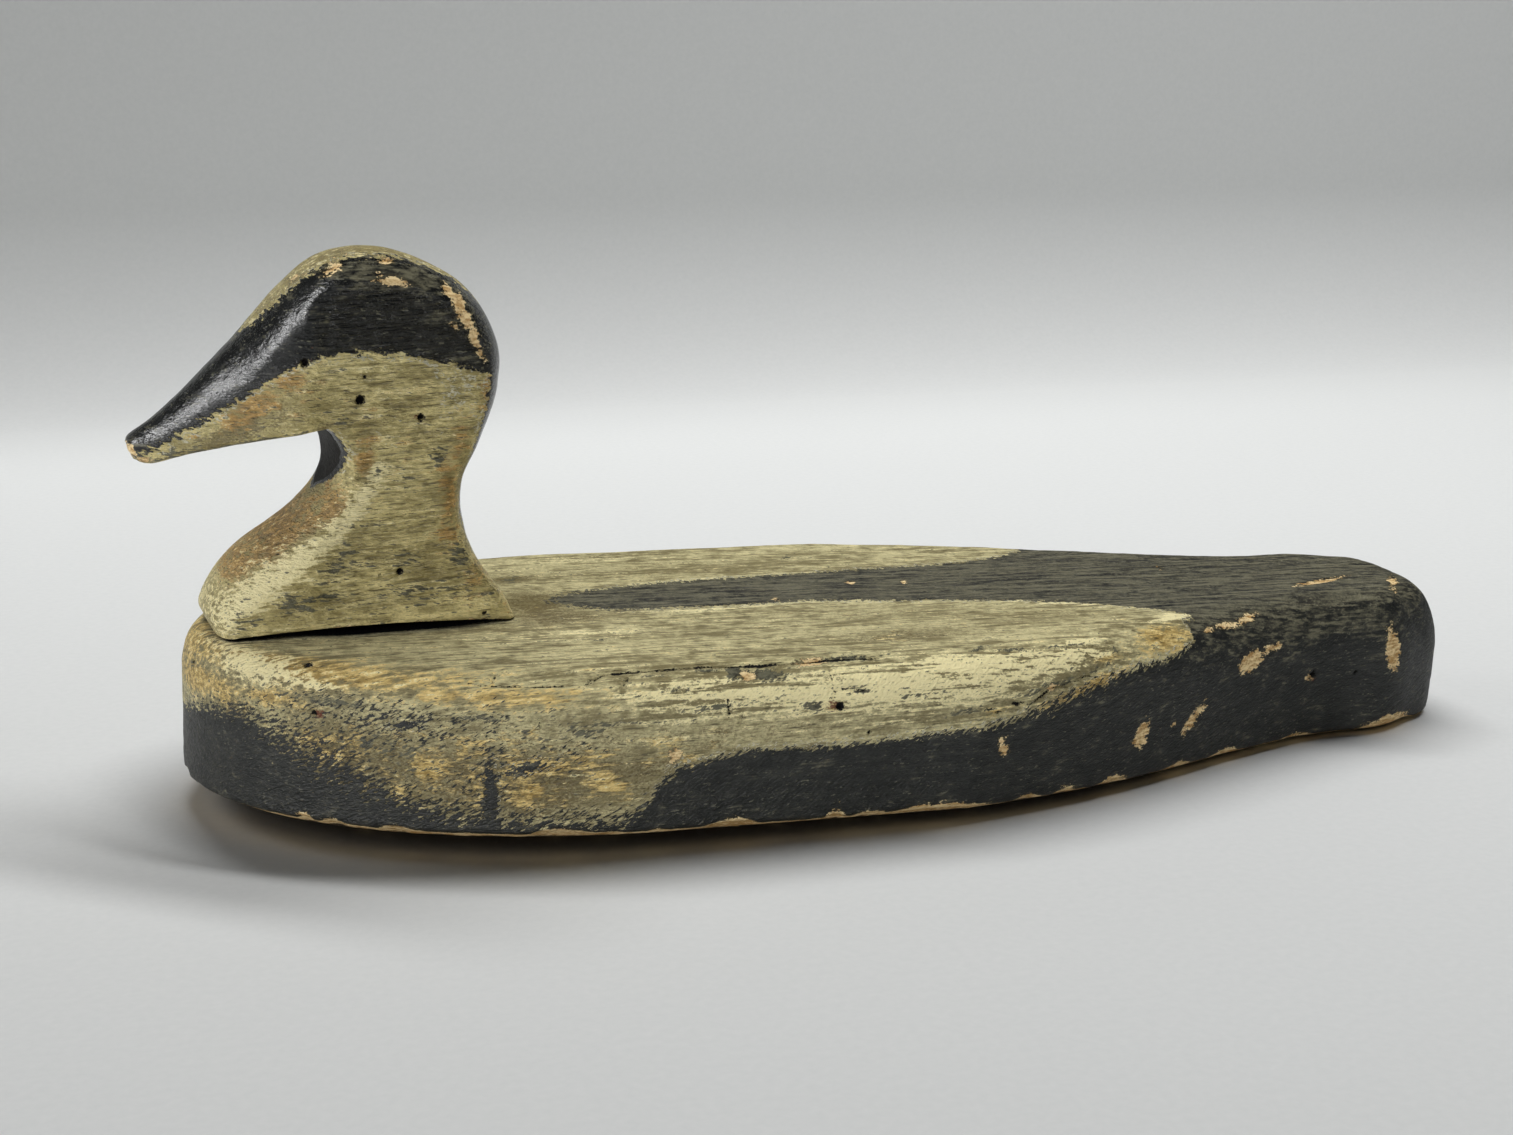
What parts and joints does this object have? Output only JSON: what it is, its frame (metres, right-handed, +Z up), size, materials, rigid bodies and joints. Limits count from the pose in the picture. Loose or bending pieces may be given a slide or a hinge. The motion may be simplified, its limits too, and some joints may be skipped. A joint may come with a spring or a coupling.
{
  "type": "eider decoy",
  "caption": "Carved wooden eider drake decoy: a rounded plank body riding bow high, with a sawn and pared head turned slightly to the bird's left, in worn black and cream paint.",
  "frame": {"origin": "on the surface the decoy stands on, under the middle of its outer box", "axes": "+Z up, +X from the bill to the tail, -Y to the bird's left side"},
  "size_m": [0.4868, 0.1944, 0.187],
  "materials": {
    "body_wood": "worn oil paint, black sides and tail, cream-olive back, bare tan wood at chips and edges",
    "head_wood": "worn oil paint, black cap and upper bill, cream-olive cheeks and neck, saw marks showing through"
  },
  "bodies": {
    "root": {"body": "body_wood", "head": "head_wood"}
  },
  "joints": []
}
